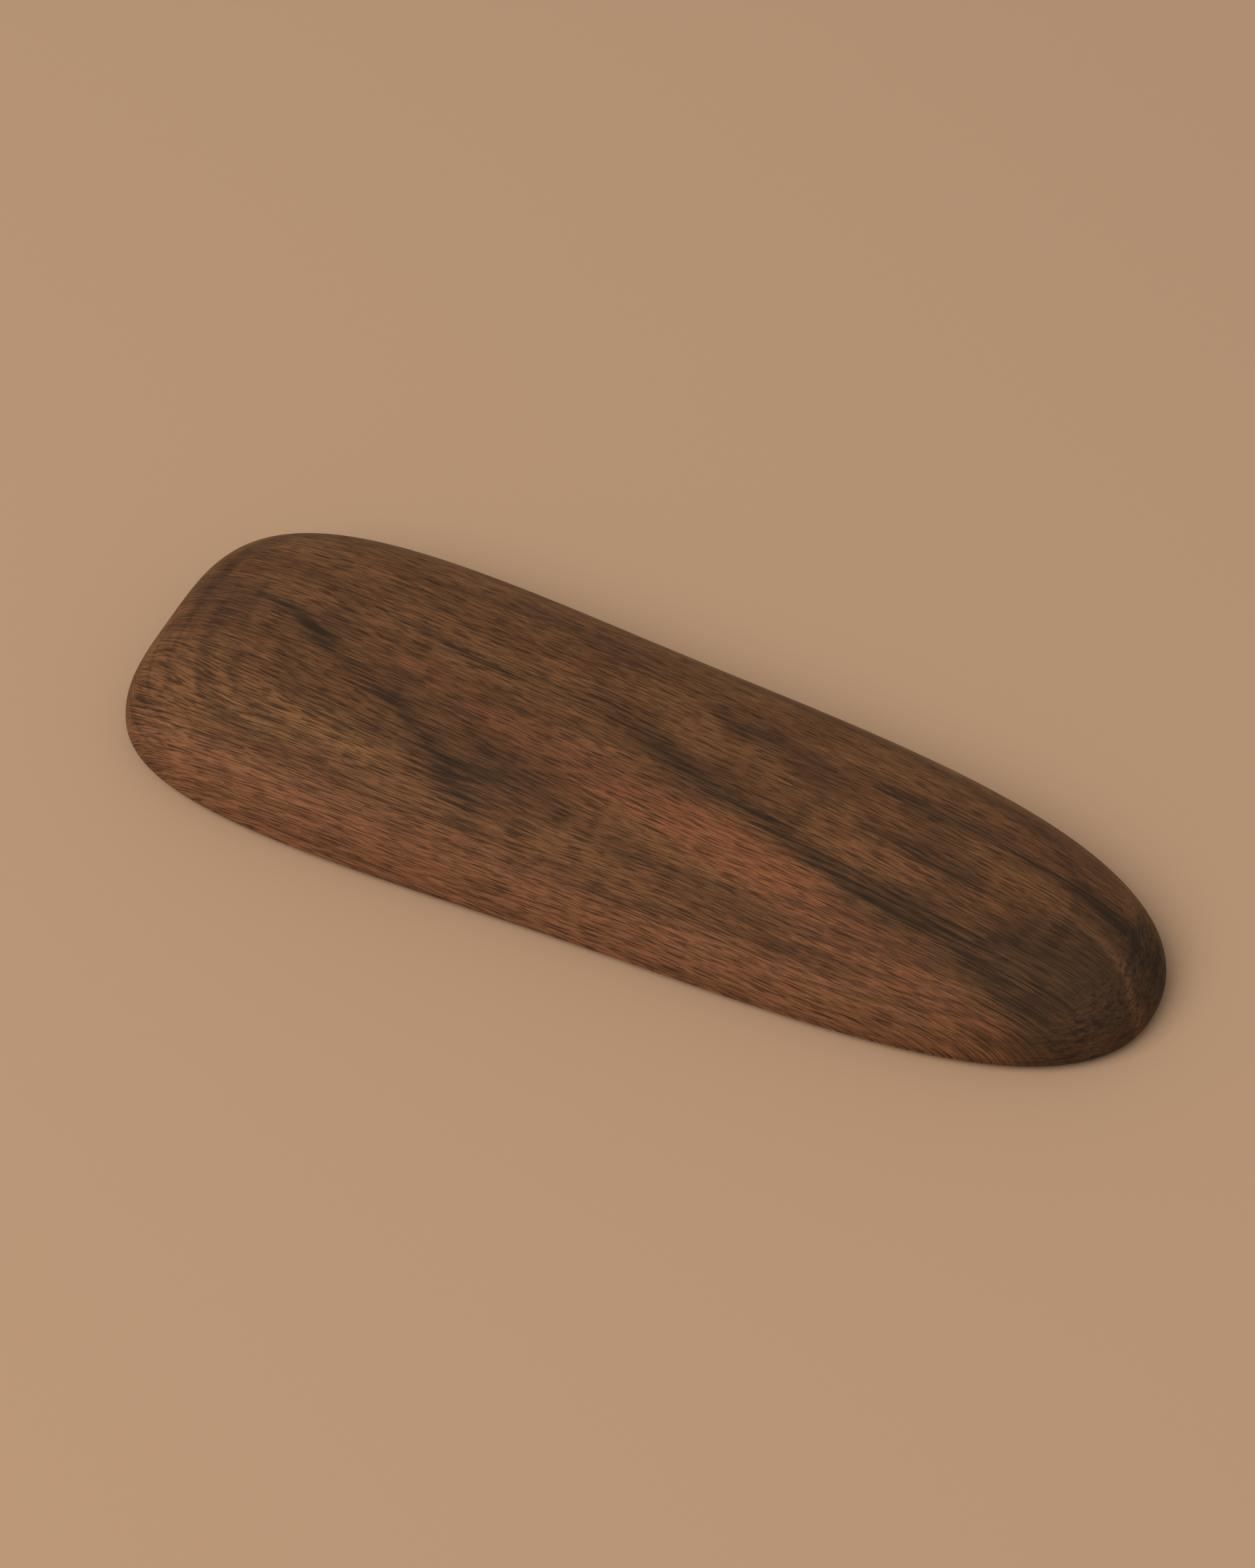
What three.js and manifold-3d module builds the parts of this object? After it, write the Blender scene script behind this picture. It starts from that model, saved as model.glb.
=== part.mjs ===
// Carved walnut hair barrette with a hinged clip nested in its hollowed back.
// Millimetres. +X runs along the length to the narrow end, +Z is up out of the domed face,
// and the rim of the hollow lies on z = 0.
import * as THREE from 'three';
import { ParametricGeometry } from 'three/addons/geometries/ParametricGeometry.js';
import { mergeVertices } from 'three/addons/utils/BufferGeometryUtils.js';
import Module from 'manifold-3d';

const wasm = await Module();
wasm.setup();

// ---------------------------------------------------------------- walnut body
const bodyLength = 100;
const bodyWidth = 31.7; // across the middle
const endTaper = 4.1; // wider than the middle at the wide end, narrower at the narrow end
const endFlare = 5; // the sides' guide lines spread by this at both ends, before the corners round in
const bodyHeight = 11.6; // crown over the middle
const crownFall = 0.6; // crown lost from the middle to the narrow end
const domeFullness = 2.3; // 2 is an ellipse at the edge, more is fuller
const domeShoulder = 1.25; // above 1 carries the crown further out before it falls
const edgeRadius = 1.5; // rounded lower edge
const wideEnd = { alongPower: 3.35, acrossPower: 3.55 }; // squarer corners
const narrowEnd = { alongPower: 2.8, acrossPower: 2.3 }; // rounder nose
const bodySides = 80; // facets round the body
const bodyRows = { dome: 11, edge: 4, hollow: 7 }; // facets up each part of the body's section
const domeNose = 15; // the crown line stops this far from each end

// hollowed back
const rimWidth = 4.5; // rim along the sides, measured in from the outline
const endWall = { wideEnd: 7, narrowEnd: 11 }; // rim across the ends
const hollowNose = 12; // the hollow's middle line stops this far from each of its ends
const crownWall = 3.4; // wood left between the clip seat and the crown
const hollowRise = 2.5; // the hollow's own dome would rise this far above the flat seat
const hollowFullness = 2.6;

// ---------------------------------------------------------------- clip
const clipRoom = { wideEnd: 5.5, narrowEnd: 6.5 }; // free hollow beyond each end of the base bar
const bondLine = 0.05; // glue film between the base bar and the wood
const fitGap = 0.05; // pieces fastened to each other
const runGap = 0.3; // pieces that move past each other
const sheet = 0.7; // base bar stock
const baseWidth = 8.4;
const baseCorner = 2;
const armGround = 0.4; // closed arm above the rim plane
const armSheet = 0.9;
const armWidth = 5.6;
const hingeInset = 3; // hinge pin from the base bar's end
const pinRadius = 0.75;
const pinHead = { radius: 1.3, thickness: 0.5 };
const pinRise = 1.9; // pin above the arm's upper face
const earThickness = 0.8;
const earRadius = 2;
const flangeThickness = 0.8;
const flangeRadius = 1.8;
const flangeRun = 3.7; // a flange's foot along the arm, from the hinge pin

// spring catch at the wide end
const catchInset = 3.5; // catch centre from the base bar's end
const catchLength = 6; // along X
const catchSheet = 0.5;
const catchHalfWidth = 2.6; // to the outside of a wing
const saddleDrop = 0.85; // side walls of the saddle below its plate
const flexGap = 0.15; // between a saddle wall and the wing that flexes from it
const barbReach = 0.75; // barb beyond the wing's face
const barbLip = 0.2;
const barbSlope = 1.05; // height of the barb's lead-in
const frameRise = 2; // latch frame above the arm's main run
const frameRail = 1.4; // side and end rails of the latch frame
const rampLength = 3; // joggle between the main run and the latch frame

// tension bar
const tensionSheet = 0.4;
const tensionWidth = 4.4;
const tensionCorner = 1.3; // at the free end
const tensionDrop = 1.1; // lowest point of the bow below the captive end
const tensionLow = 36; // lowest point from the captive end, along X
const bowFacets = 16;
const strapWidth = 2;
const strapSheet = 0.6;
const tailLength = 0.9; // crosspiece of the bar's T-shaped end
const tailOverhang = 1.2;

// fasteners
const screw = { shank: 0.9, head: 2, headHeight: 0.9, bite: 1.8, slotWidth: 0.6, slotDepth: 0.4 };
const screwSetback = 4.5; // hinge-end screw from the hinge pin, and the strap from that screw
const catchScrewSetback = 7.5; // catch-end screw from the catch centre
const tensionEndRoom = 5; // tension bar's free end from the catch-end screw
const rivet = { radius: 0.8, head: 1.5, headHeight: 0.5 };
const headFlat = 0.65; // flat face of a screw or rivet head, as a share of its radius
const headEdge = 0.6; // bevelled part of a head's height
const screwPoint = 0.3; // tapered part of the bite
const roundSides = 28;
const arcFacets = 10; // along each rounded corner or nose of a flat piece

// ---------------------------------------------------------------- places worked out from the sizes
const seatZ = bodyHeight - crownWall;
const baseTop = seatZ - bondLine;
const baseUnder = baseTop - sheet;
const baseLow = endWall.wideEnd + clipRoom.wideEnd - bodyLength / 2;
const baseHigh = bodyLength / 2 - endWall.narrowEnd - clipRoom.narrowEnd;
const hingeX = baseHigh - hingeInset;
const catchX = baseLow + catchInset;
const armTop = armGround + armSheet;
const pinZ = armTop + pinRise;
const frameUnder = armGround + frameRise;
const frameTop = frameUnder + armSheet;
const flangeOuter = armWidth / 2;
const earInner = flangeOuter + runGap;
const earOuter = earInner + earThickness;
const hingeScrewX = hingeX - screwSetback;
const strapX = hingeScrewX - screwSetback;
const catchScrewX = catchX + catchScrewSetback;
const tensionFreeX = catchScrewX + tensionEndRoom;
const saddleUnder = baseUnder - fitGap - catchSheet;
const wingTop = saddleUnder - saddleDrop - flexGap;
const windowHalfLength = catchLength / 2 + runGap;
const windowHalfWidth = catchHalfWidth + runGap;
const through = 1; // a cutting tool or a plan view runs this far past the metal that it trims

// ---------------------------------------------------------------- helpers
const X = new THREE.Vector3(1, 0, 0);
const Y = new THREE.Vector3(0, 1, 0);
const Z = new THREE.Vector3(0, 0, 1);

function solidOf(geometry) {
  const bare = geometry.clone();
  bare.deleteAttribute('normal');
  bare.deleteAttribute('uv');
  const merged = mergeVertices(bare, 1e-5);
  return new wasm.Manifold(new wasm.Mesh({
    numProp: 3,
    vertProperties: new Float32Array(merged.attributes.position.array),
    triVerts: new Uint32Array(merged.index.array),
  }));
}

function geometryOf(solid) {
  const mesh = solid.getMesh();
  const geometry = new THREE.BufferGeometry();
  geometry.setAttribute('position', new THREE.BufferAttribute(mesh.vertProperties, 3));
  geometry.setIndex(new THREE.BufferAttribute(mesh.triVerts, 1));
  geometry.computeVertexNormals();
  return geometry;
}

const join = (...solids) => solids.reduce((whole, piece) => whole.add(piece));
const cut = (solid, ...tools) => tools.reduce((left, tool) => left.subtract(tool), solid);

function block(low, high) {
  const size = high.map((value, axis) => value - low[axis]);
  const centre = high.map((value, axis) => (value + low[axis]) / 2);
  return solidOf(new THREE.BoxGeometry(...size).translate(...centre));
}

// A drawn outline carried evenly to both sides of centre, across the plane of right and up.
function slab(shape, thickness, right, up, centre = 0) {
  const across = new THREE.Vector3().crossVectors(right, up);
  const options = { depth: thickness, bevelEnabled: false, curveSegments: arcFacets };
  const geometry = new THREE.ExtrudeGeometry(shape, options);
  geometry.translate(0, 0, -thickness / 2);
  geometry.applyMatrix4(new THREE.Matrix4().makeBasis(right, up, across));
  const offset = across.clone().multiplyScalar(across.dot(new THREE.Vector3(1, 1, 1)) * centre);
  return solidOf(geometry.translate(offset.x, offset.y, offset.z));
}

const sideSlab = (shape, thickness, centreY = 0) => slab(shape, thickness, X, Z, centreY);
const endSlab = (shape, thickness, centreX = 0) => slab(shape, thickness, Y, Z, centreX);
const planSlab = (shape, low, high) => slab(shape, high - low, X, Y, (high + low) / 2);

function outline(points) {
  return new THREE.Shape(points.map(([a, b]) => new THREE.Vector2(a, b)));
}

// A round piece about +Y from its profile of [radius, height] points.
function turned(profile) {
  const points = profile.map(([radius, height]) => new THREE.Vector2(radius, height));
  return new THREE.LatheGeometry(points, roundSides);
}

// The same, standing up along +Z at x on the middle line.
const upright = (profile, x) => solidOf(turned(profile).rotateX(Math.PI / 2).translate(x, 0, 0));

function rod(radius, low, high, x) {
  return upright([[0, low], [radius, low], [radius, high], [0, high]], x);
}

function crossRod(radius, halfLength, x, z) {
  const geometry = new THREE.CylinderGeometry(radius, radius, 2 * halfLength, roundSides);
  return solidOf(geometry.translate(x, 0, z));
}

// ---------------------------------------------------------------- walnut body
// In plan |u|^p + |v|^q = 1, where u and v are x and y as shares of the half-length and of the half-width
// there. p belongs to each end, and q passes evenly from one end to the other.
const alongPower = (u) => (u < 0 ? wideEnd : narrowEnd).alongPower;
const acrossPower = (u) => (wideEnd.acrossPower * (1 - u) + narrowEnd.acrossPower * (1 + u)) / 2;
const halfWidth = (u) => (bodyWidth - endTaper * u + endFlare * u ** 2) / 2;

// The dome falls from the crown to the lower edge as (1 - (|u|^p + |v|^q)^shoulder)^(1 / fullness).
function domeHeight(x, y) {
  const u = x / (bodyLength / 2);
  const v = y / halfWidth(u);
  const out = Math.abs(u) ** alongPower(u) + Math.abs(v) ** acrossPower(u);
  const level = Math.max(0, 1 - out ** domeShoulder);
  const crown = bodyHeight - crownFall * u;
  return edgeRadius + (crown - edgeRadius) * level ** (1 / domeFullness);
}

const quarterTurn = Math.PI / 2;
const arcSteps = (count, map, end = quarterTurn) => (
  Array.from({ length: count + 1 }, (_, step) => map((step / count) * end)));

const evenInset = (inset) => ({ side: inset, wideEnd: inset, narrowEnd: inset });
const hollowInset = { side: rimWidth, ...endWall };

// Rings from the crown line out over the dome, round the lower edge, in along the rim and up the hollow.
// A ring's outline is the plan drawn in by its inset; spread is its share of the way there from a middle
// line that stops short of each end by nose.
function bodyRings() {
  const dome = arcSteps(bodyRows.dome, (turn) => ({
    inset: evenInset(0),
    nose: domeNose,
    spread: Math.sin(turn) ** (2 / domeFullness),
    height: domeHeight,
  }));
  const edge = arcSteps(bodyRows.edge, (turn) => ({
    inset: evenInset(edgeRadius * (1 - Math.cos(turn))),
    nose: domeNose,
    spread: 1,
    height: () => edgeRadius * (1 - Math.sin(turn)),
  }));
  const hollowTop = seatZ + hollowRise;
  const landTurn = Math.asin((seatZ / hollowTop) ** (hollowFullness / 2));
  const hollow = arcSteps(bodyRows.hollow, (turn) => ({
    inset: hollowInset,
    nose: hollowNose,
    spread: Math.cos(turn) ** (2 / hollowFullness),
    height: () => hollowTop * Math.sin(turn) ** (2 / hollowFullness),
  }), landTurn);
  const seat = { inset: hollowInset, nose: hollowNose, spread: 0, height: () => seatZ };
  return [...dome, ...edge.slice(1), ...hollow, seat];
}

function ringPoint(ring, angle) {
  const end = Math.cos(angle) < 0 ? 'wideEnd' : 'narrowEnd';
  const u = Math.sign(Math.cos(angle)) * Math.abs(Math.cos(angle)) ** (2 / alongPower(Math.cos(angle)));
  const v = Math.sign(Math.sin(angle)) * Math.abs(Math.sin(angle)) ** (2 / acrossPower(u));
  const halfLength = bodyLength / 2 - ring.inset[end];
  const spineX = Math.cos(angle) * (halfLength - ring.nose);
  const x = spineX + ring.spread * (u * halfLength - spineX);
  const y = ring.spread * v * (halfWidth(u) - ring.inset.side);
  return [x, y, ring.height(x, y)];
}

function walnutBody() {
  const rings = bodyRings();
  const place = (u, v, target) => {
    target.set(...ringPoint(rings[Math.round(v * (rings.length - 1))], (1 - u) * 2 * Math.PI));
  };
  const shell = solidOf(new ParametricGeometry(place, bodySides, rings.length - 1));
  const pilots = [hingeScrewX, catchScrewX].map((x) => (
    rod(screw.shank + fitGap, baseUnder, baseTop + screw.bite + fitGap, x)));
  return cut(shell, ...pilots);
}

// ---------------------------------------------------------------- base bar
// Stamped strip with rounded ends, two hinge ears and a strap that holds the tension bar.
function roundedStrip(low, high, halfWidth, corner) {
  const strip = new THREE.Shape();
  strip.moveTo(low + corner, -halfWidth);
  strip.lineTo(high - corner, -halfWidth);
  strip.absarc(high - corner, corner - halfWidth, corner, -Math.PI / 2, 0);
  strip.absarc(high - corner, halfWidth - corner, corner, 0, Math.PI / 2);
  strip.absarc(low + corner, halfWidth - corner, corner, Math.PI / 2, Math.PI);
  strip.absarc(low + corner, corner - halfWidth, corner, Math.PI, 1.5 * Math.PI);
  return strip;
}

// An ear hangs from inside the strip and ends in a round nose about the pin.
function hingeEar(sideways) {
  const shape = new THREE.Shape();
  shape.moveTo(hingeX + earRadius, baseTop - sheet / 2);
  shape.lineTo(hingeX - earRadius, baseTop - sheet / 2);
  shape.lineTo(hingeX - earRadius, pinZ);
  shape.absarc(hingeX, pinZ, earRadius, Math.PI, 2 * Math.PI);
  return sideSlab(shape, earThickness, sideways * (earInner + earThickness / 2));
}

// A U-shaped loop under the strip, with room for the tension bar's sheet.
function tensionStrap() {
  const inner = tensionWidth / 2 + runGap;
  const outer = inner + strapSheet;
  const root = baseTop - sheet / 2;
  const lip = baseUnder - 2 * runGap - tensionSheet;
  const loop = outline([
    [-outer, root], [-outer, lip - strapSheet], [outer, lip - strapSheet], [outer, root],
    [inner, root], [inner, lip], [-inner, lip], [-inner, root],
  ]);
  return endSlab(loop, strapWidth, strapX);
}

function baseBar() {
  const strip = planSlab(roundedStrip(baseLow, baseHigh, baseWidth / 2, baseCorner), baseUnder, baseTop);
  const hole = (radius, x) => rod(radius + fitGap, baseUnder - through, baseTop + through, x);
  return cut(
    join(strip, tensionStrap(), hingeEar(-1), hingeEar(1)),
    crossRod(pinRadius + fitGap, earOuter + through, hingeX, pinZ),
    hole(screw.shank, hingeScrewX),
    hole(screw.shank, catchScrewX),
    hole(rivet.radius, catchX),
  );
}

// ---------------------------------------------------------------- hinge pin and clasp arm
// Headed pin: the shank runs through both ears and the arm's flanges.
function hingePin() {
  const end = earOuter + fitGap;
  const tip = end + pinHead.thickness;
  const headed = turned([
    [0, -tip], [pinHead.radius, -tip], [pinHead.radius, -end], [pinRadius, -end],
    [pinRadius, end], [pinHead.radius, end], [pinHead.radius, tip], [0, tip],
  ]);
  return solidOf(headed.translate(hingeX, 0, pinZ));
}

// A flange stands up from the arm's edge and ends in a round nose about the pin.
function armFlange(sideways, tail) {
  const foot = armTop - armSheet / 2;
  const shape = new THREE.Shape();
  shape.moveTo(hingeX - flangeRun, foot);
  shape.lineTo(tail, foot);
  shape.lineTo(hingeX + flangeRadius, pinZ);
  shape.absarc(hingeX, pinZ, flangeRadius, 0, Math.PI);
  return sideSlab(shape, flangeThickness, sideways * (flangeOuter - flangeThickness / 2));
}

// The arm is one bent strip: its side view is carried across its width and trimmed to its plan view.
function claspArm() {
  const frameEnd = catchX - windowHalfLength - frameRail;
  const frameStart = catchX + windowHalfLength + frameRail;
  const runStart = frameStart + rampLength;
  const tail = hingeX + flangeRadius / 2;
  const frameHalf = windowHalfWidth + frameRail;
  const side = outline([
    [frameEnd, frameUnder], [frameStart, frameUnder], [runStart, armGround], [tail, armGround],
    [tail, armTop], [runStart, armTop], [frameStart, frameTop], [frameEnd, frameTop],
  ]);
  const frame = planSlab(roundedStrip(frameEnd, frameStart, frameHalf, frameRail), 0, frameTop + through);
  const neck = planSlab(outline([
    [frameStart - frameRail, -frameHalf], [runStart, -armWidth / 2], [tail, -armWidth / 2],
    [tail, armWidth / 2], [runStart, armWidth / 2], [frameStart - frameRail, frameHalf],
  ]), 0, frameTop + through);
  const strip = sideSlab(side, 2 * (frameHalf + through)).intersect(join(frame, neck));
  const window = block(
    [catchX - windowHalfLength, -windowHalfWidth, 0],
    [catchX + windowHalfLength, windowHalfWidth, frameTop + through],
  );
  return cut(
    join(strip, armFlange(-1, tail), armFlange(1, tail)),
    window,
    crossRod(pinRadius + runGap, flangeOuter + through, hingeX, pinZ),
  );
}

// ---------------------------------------------------------------- spring catch
function catchSaddle() {
  const inner = catchHalfWidth - catchSheet;
  const top = baseUnder - fitGap;
  const wall = saddleUnder - saddleDrop;
  const channel = outline([
    [-catchHalfWidth, top], [-catchHalfWidth, wall], [-inner, wall], [-inner, saddleUnder],
    [inner, saddleUnder], [inner, wall], [catchHalfWidth, wall], [catchHalfWidth, top],
  ]);
  return cut(
    endSlab(channel, catchLength, catchX),
    rod(rivet.radius + fitGap, saddleUnder - through, top + through, catchX),
  );
}

// A wing hangs through the arm's window, and its barb holds the window's rail from below.
function catchWing(sideways) {
  const face = catchHalfWidth;
  const barbTop = frameUnder - runGap / 2;
  const profile = outline([
    [face - catchSheet, wingTop], [face - catchSheet, armGround], [face, armGround],
    [face, barbTop - barbLip - barbSlope], [face + barbReach, barbTop - barbLip],
    [face + barbReach, barbTop], [face, barbTop], [face, wingTop],
  ].map(([across, height]) => [sideways * across, height]));
  return endSlab(profile, catchLength, catchX);
}

// The middle, face and bevelled edge of a head that hangs below the given height.
const headProfile = (under, radius, height) => [
  [0, under - height], [radius * headFlat, under - height],
  [radius, under - height * (1 - headEdge)], [radius, under],
];

// Shouldered rivet, headed on the saddle's underside and set flush in the base bar.
function catchRivet() {
  const under = saddleUnder - fitGap;
  return upright([
    ...headProfile(under, rivet.head, rivet.headHeight),
    [rivet.radius, under], [rivet.radius, baseTop], [0, baseTop],
  ], catchX);
}

// ---------------------------------------------------------------- tension bar and screws
// Bowed leaf: z rises with the square of the distance from its lowest point; its captive end is a T.
function tensionBar() {
  const top = baseUnder - runGap;
  const lowX = strapX - tensionLow;
  const drop = (x) => tensionDrop * (1 - ((x - lowX) / tensionLow) ** 2);
  const captive = strapX + strapWidth / 2 + runGap;
  const tail = captive + tailLength;
  const upper = Array.from({ length: bowFacets + 1 }, (_, step) => {
    const x = strapX + (tensionFreeX - strapX) * (step / bowFacets);
    return [x, top - drop(x)];
  });
  const lower = upper.map(([x, z]) => [x, z - tensionSheet]).reverse();
  const side = outline([[tail, top], ...upper, ...lower, [tail, top - tensionSheet]]);
  const half = tensionWidth / 2;
  const span = half + tailOverhang;
  const leaf = planSlab(roundedStrip(tensionFreeX, captive + tensionCorner, half, tensionCorner), 0, baseTop);
  const crosspiece = block([captive, -span, 0], [tail, span, baseTop]);
  return sideSlab(side, 2 * (span + through)).intersect(join(leaf, crosspiece));
}

// Slotted pan-head screw, driven up into the seat.
function clipScrew(x) {
  const under = baseUnder - fitGap;
  const faceZ = under - screw.headHeight;
  const body = upright([
    ...headProfile(under, screw.head, screw.headHeight),
    [screw.shank, under], [screw.shank, baseTop + screw.bite * (1 - screwPoint)],
    [0, baseTop + screw.bite],
  ], x);
  return cut(body, block(
    [x - screw.slotWidth / 2, -screw.head - through, faceZ - through],
    [x + screw.slotWidth / 2, screw.head + through, faceZ + screw.slotDepth],
  ));
}

// ---------------------------------------------------------------- the assembled barrette
const walnut = { color: 0x64452e, roughness: 0.55, metalness: 0 };
const nickel = { color: 0xb9b6ae, roughness: 0.28, metalness: 1 };
const springSteel = { color: 0xa9a7a2, roughness: 0.35, metalness: 1 };
const brass = { color: 0xb08d4a, roughness: 0.35, metalness: 1 };

const pieces = [
  ['walnut_body', walnutBody(), walnut],
  ['base_bar', baseBar(), nickel],
  ['hinge_pin', hingePin(), nickel],
  ['clasp_arm', claspArm(), nickel],
  ['catch_saddle', catchSaddle(), springSteel],
  ['catch_wing_left', catchWing(1), springSteel],
  ['catch_wing_right', catchWing(-1), springSteel],
  ['catch_rivet', catchRivet(), nickel],
  ['tension_bar', tensionBar(), springSteel],
  ['screw_hinge_end', clipScrew(hingeScrewX), brass],
  ['screw_catch_end', clipScrew(catchScrewX), brass],
];

const barrette = new THREE.Group();
for (const [name, solid, finish] of pieces) {
  const mesh = new THREE.Mesh(geometryOf(solid), new THREE.MeshStandardMaterial(finish));
  mesh.name = name;
  barrette.add(mesh);
}

export default barrette;
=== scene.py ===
"""Carved walnut hair barrette with its nested clip: finished surfaces, materials, light and camera.

Metres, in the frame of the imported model: +X to the narrow end, +Z out of the domed face.
"""
import math
import bmesh
import bpy
import numpy as np
from mathutils import Matrix, Vector


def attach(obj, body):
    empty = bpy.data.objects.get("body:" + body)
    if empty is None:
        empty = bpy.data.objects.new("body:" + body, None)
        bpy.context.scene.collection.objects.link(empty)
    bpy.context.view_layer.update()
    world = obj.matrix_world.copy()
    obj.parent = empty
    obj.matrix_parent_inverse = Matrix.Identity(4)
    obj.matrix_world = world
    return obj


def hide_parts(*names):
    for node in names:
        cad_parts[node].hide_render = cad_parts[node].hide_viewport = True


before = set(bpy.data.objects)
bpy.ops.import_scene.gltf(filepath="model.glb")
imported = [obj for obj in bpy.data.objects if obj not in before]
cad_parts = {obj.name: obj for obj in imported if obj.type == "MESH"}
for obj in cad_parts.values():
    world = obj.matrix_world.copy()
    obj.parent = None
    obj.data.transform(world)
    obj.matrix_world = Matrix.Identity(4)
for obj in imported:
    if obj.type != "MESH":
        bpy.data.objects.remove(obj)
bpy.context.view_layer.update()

MM = 0.001

# ---------------------------------------------------------------- the wooden body, in millimetres
BODY_LENGTH = 100.0
BODY_WIDTH = 31.7  # half-way along
END_TAPER = 4.1  # the width gains this towards the wide end and loses it towards the narrow one
END_FLARE = 5.0  # and gains this towards both ends, which their round corners take off again
BODY_HEIGHT = 11.6  # of the crown, half-way along
CROWN_FALL = 0.6  # the crown gains this at the wide end and loses it at the narrow one
DOME_FULLNESS = 2.3  # the power of the dome's section: 2 would be an ellipse, more is fuller
DOME_SHOULDER = 1.25  # how late the dome starts to fall on its way out
EDGE_RADIUS = 1.5  # the rounded edge between the dome and the rim
WIDE_END = {"along": 3.35, "across": 3.55}  # the powers of the outline's curve at each end
NARROW_END = {"along": 2.8, "across": 2.3}
DOME_NOSE = 15.0  # the rings of the dome close on a line that stops this far from each end
RIM_WIDTH = 4.5  # the wall round the hollow, along the sides
END_WALL = {"wide": 7.0, "narrow": 11.0}  # and at the ends
HOLLOW_NOSE = 12.0  # the rings of the hollow close on a line that stops this far from its ends
SEAT_HEIGHT = 8.2  # the flat that the clip is screwed to
HOLLOW_RISE = 2.5  # the curve of the hollow's wall would close this far above the seat
HOLLOW_FULLNESS = 2.6
RIM_EASE = 0.35  # sanded inner edge of the rim

# How many points a ring has, and how many rings each part of the body's section has.
BODY_SIDES = 480
DOME_ROWS = 64
EDGE_ROWS = 10
RIM_ROWS = 6
EASE_ROWS = 5
HOLLOW_ROWS = 26
SEAT_RINGS = (0.75, 0.5, 0.25, 0.0)  # each at this share of the way out across the seat
OUTLINE_STEPS = 20001  # fine steps along half of the outline, for spacing the points evenly
MERGE_GAP = 0.0005  # points closer than this are one

# ---------------------------------------------------------------- the lie of the fibres, in millimetres
GRAIN_DRIFT = 0.07  # the fibres run about 4 degrees off the long axis
BEND_REACH = 45.0  # this far from the middle, towards the wide end,
GRAIN_BEND = 1.3  # they have swung this much further over
BEND_EDGE = -16.0  # along the near edge they stay straight, and the bend is full this far in
BEND_FADE = 12.0
FLANK_SHARE = 0.65  # a pattern that follows the surface is drawn a little taller on the flanks
END_GRAIN_FROM = {"wide": 0.6, "narrow": 0.3}  # how far a face turns to an end before end grain begins
END_GRAIN_OVER = 0.32  # and how much further before it shows nothing else

# ---------------------------------------------------------------- the clip
FACET_GAP = 0.001  # in mm: corners of facets closer than this are one
FLAT_WITHIN = math.radians(1.5)  # facets that turn less than this are one flat face
SHARP_BEYOND = math.radians(30)  # and an edge that turns more than this is a corner, and is eased
BEVEL_STEPS = 3
CLIP_PIECES = [  # each piece, the body it rides on, its finish, and the bevel on its edges in mm
    ("base_bar", "back", "nickel_plate", 0.12),
    ("hinge_pin", "back", "nickel_plate", 0.12),
    ("clasp_arm", "arm", "nickel_plate", 0.15),
    ("catch_saddle", "back", "spring_steel", 0.06),
    ("catch_wing_left", "wing_left", "spring_steel", 0.06),
    ("catch_wing_right", "wing_right", "spring_steel", 0.06),
    ("catch_rivet", "back", "nickel_plate", 0.12),
    ("tension_bar", "tension", "spring_steel", 0.06),
    ("screw_hinge_end", "back", "brass", 0.08),
    ("screw_catch_end", "back", "brass", 0.08),
]

# ---------------------------------------------------------------- set and camera
FLOOR_REACH = 3.0  # metres from the middle to each side
KEY_LIGHT = {  # the way to it, then metres, metres and watts
    "toward": (-0.36, -0.74, 1.05),
    "distance": 1.1,
    "width": 0.9,
    "power": 8.6,
    "colour": "#fff9f2",
}
ROOM_LIGHT = {"colour": "#fff9f1", "strength": 0.48}
CAMERA_TURN = math.radians(24.16)  # from the long near side towards the narrow end
CAMERA_RISE = math.radians(50.0)  # above the floor
CAMERA_ROLL = math.radians(1.49)
CAMERA_AIM = (-3.83, 3.96, 0.0)  # the point on the floor that it looks at, in mm
CAMERA_DISTANCE = 465.2  # mm
LENS_LENGTH = 115.75  # mm
FILM_WIDTH = 36.0  # mm
NEAREST = 10.0  # mm: what is closer to the camera than this is cut away


# ---------------------------------------------------------------- mesh helpers
def closed_mesh(name, points, faces):
    """A mesh object from an array of points and one of quads; points that coincide become one."""
    mesh = bpy.data.meshes.new(name)
    mesh.from_pydata(points.tolist(), [], faces.tolist())
    work = bmesh.new()
    work.from_mesh(mesh)
    bmesh.ops.remove_doubles(work, verts=work.verts, dist=MERGE_GAP * MM)
    bmesh.ops.dissolve_degenerate(work, dist=MERGE_GAP * MM, edges=work.edges)
    work.to_mesh(mesh)
    work.free()
    mesh.validate()
    mesh.shade_smooth()
    piece = bpy.data.objects.new(name, mesh)
    bpy.context.scene.collection.objects.link(piece)
    return piece


def ring_faces(rows, sides):
    """Quads between each ring of points and the next, the last point of a ring joined to its first."""
    row, side = np.meshgrid(np.arange(rows - 1), np.arange(sides), indexing="ij")
    after = (side + 1) % sides
    here, there = row * sides, (row + 1) * sides
    return np.stack([here + side, here + after, there + after, there + side], axis=-1).reshape(-1, 4)


# ---------------------------------------------------------------- walnut body
# Along the body, u runs from -1 at the wide end to 1 at the narrow one; across it, v runs from -1 to 1.
def signed_power(value, power):
    """The size of a value raised to a power, with the value's own sign."""
    return np.sign(value) * np.abs(value) ** power


def smooth_step(share):
    """Three times the share squared less twice its cube, which leaves 0 and reaches 1 without a kink."""
    return share**2 * (3 - 2 * share)


def along_power(u):
    """The power of |u| in the outline: one for the wide half and one for the narrow half."""
    return np.where(u < 0, WIDE_END["along"], NARROW_END["along"])


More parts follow.
